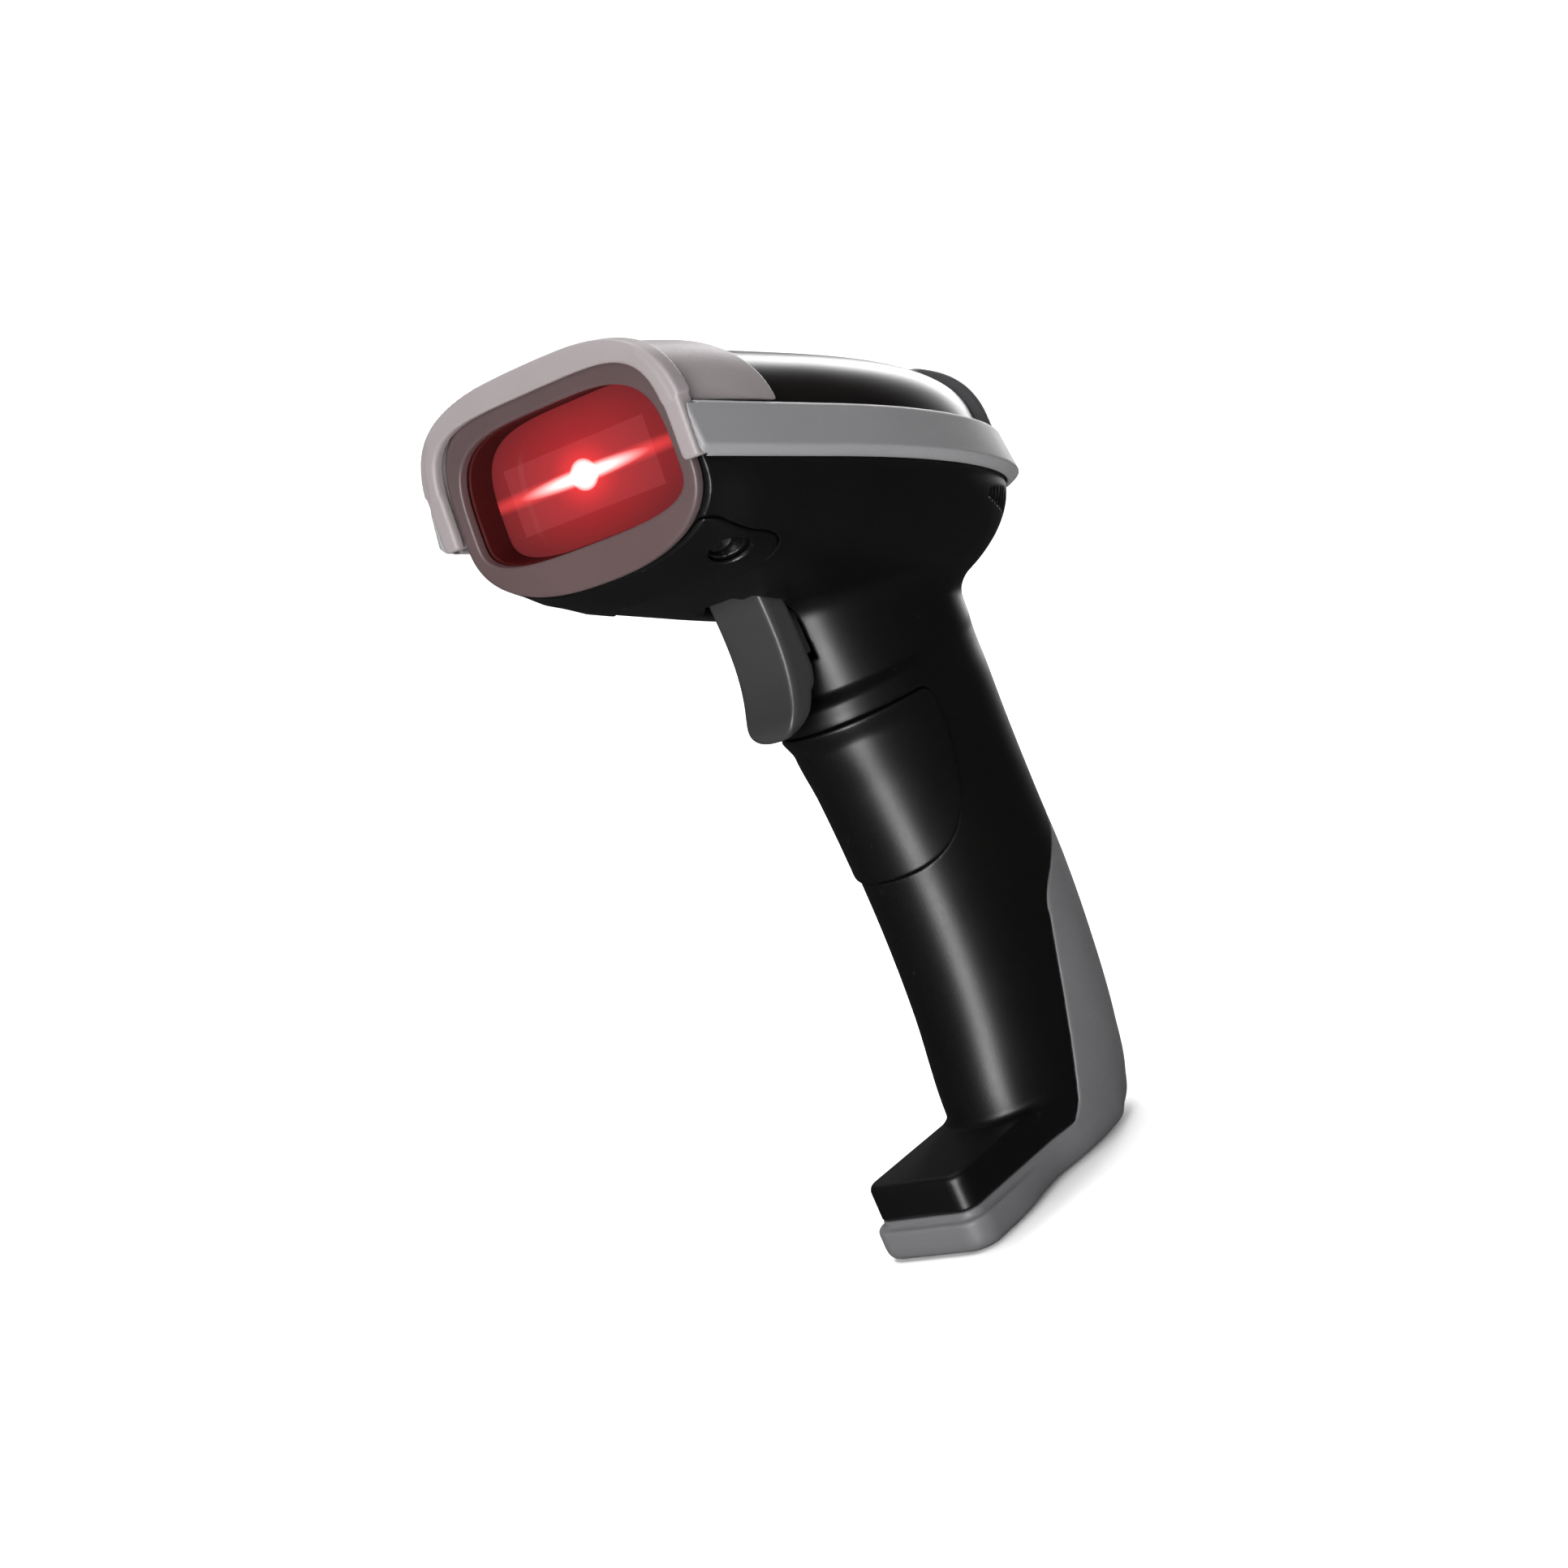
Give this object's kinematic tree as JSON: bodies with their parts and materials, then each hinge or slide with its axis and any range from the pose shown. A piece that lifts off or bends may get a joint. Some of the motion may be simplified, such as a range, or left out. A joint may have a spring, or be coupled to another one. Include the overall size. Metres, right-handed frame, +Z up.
{
  "type": "handheld barcode scanner",
  "caption": "Pistol-grip cordless barcode scanner: wide hooded head with a red scan window, two-tone shell with soft bumpers, pivoting trigger and a forward foot it stands on.",
  "frame": {"origin": "middle of the object's footprint, on the plane its foot stands on", "axes": "+Z up along the handle, -Y the way the scan window looks, +X the scanner's own left side"},
  "size_m": [0.0676, 0.1074, 0.1717],
  "materials": {
    "black_satin_plastic": "satin, fine grain",
    "black_gloss_plastic": "semi-gloss",
    "charcoal_plastic": "matte",
    "grey_soft_touch": "soft-touch, fine grain",
    "light_grey_soft_touch": "soft-touch, fine grain",
    "bezel_plastic": "satin",
    "inner_black_plastic": "matte",
    "red_window": "clear red, polished",
    "foam_gasket": "closed-cell foam",
    "spring_steel": "bright",
    "circuit_board": "solder mask",
    "component_black": "moulded",
    "plunger_plastic": "satin",
    "lens_glass": "coated",
    "red_led": "clear dome",
    "white_led": "clear dome",
    "cell_sleeve": "shrink sleeve",
    "cable_film": "polyimide film"
  },
  "bodies": {
    "housing": {"main_shell": "black_satin_plastic", "grip_panel": "black_satin_plastic", "chin_panel": "black_satin_plastic", "top_cover": "black_gloss_plastic", "rear_cap": "charcoal_plastic", "rear_bumper": "grey_soft_touch", "head_belt": "grey_soft_touch", "nose_bumper": "light_grey_soft_touch", "bezel_ring": "bezel_plastic", "window_tunnel": "inner_black_plastic", "aperture_mask": "inner_black_plastic", "engine_housing": "inner_black_plastic", "chassis_frame": "inner_black_plastic", "battery_cradle": "inner_black_plastic", "scan_window": "red_window", "window_gasket": "foam_gasket", "trigger_pin": "spring_steel", "engine_bracket": "spring_steel", "radio_can": "spring_steel", "chin_screw_right": "spring_steel", "chin_screw_left": "spring_steel", "board_screw_right": "spring_steel", "board_screw_left": "spring_steel", "engine_screw_right": "spring_steel", "engine_screw_left": "spring_steel", "battery_contact_top": "spring_steel", "battery_contact_bottom": "spring_steel", "vibration_motor": "spring_steel", "usb_port": "spring_steel", "switch_board": "circuit_board", "engine_board": "circuit_board", "main_board": "circuit_board", "port_board": "circuit_board", "switch_body": "component_black", "decoder_chip": "component_black", "buzzer": "component_black", "engine_lens": "lens_glass", "engine_aimer": "red_led", "engine_led": "white_led", "battery": "cell_sleeve", "flat_cable": "cable_film"},
    "trigger": {"trigger": "charcoal_plastic", "trigger_spring": "spring_steel"},
    "plunger": {"switch_plunger": "plunger_plastic"}
  },
  "joints": [
    {"name": "trigger_pivot", "type": "hinge", "parent": "housing", "child": "trigger", "pos_m": [0, -0.0175, 0.1238], "axis": [1, 0, 0], "range_deg": [0, 5], "stiffness_Nm_per_rad": 0.6, "springref_deg": -6.88},
    {"name": "switch_press", "type": "slide", "parent": "housing", "child": "plunger", "axis": [0, 1, 0], "range_m": [0, 0.0009]}
  ],
  "couplings": [
    {"joint": "switch_press", "follows": "trigger_pivot", "m_per_rad": 0.0103}
  ]
}
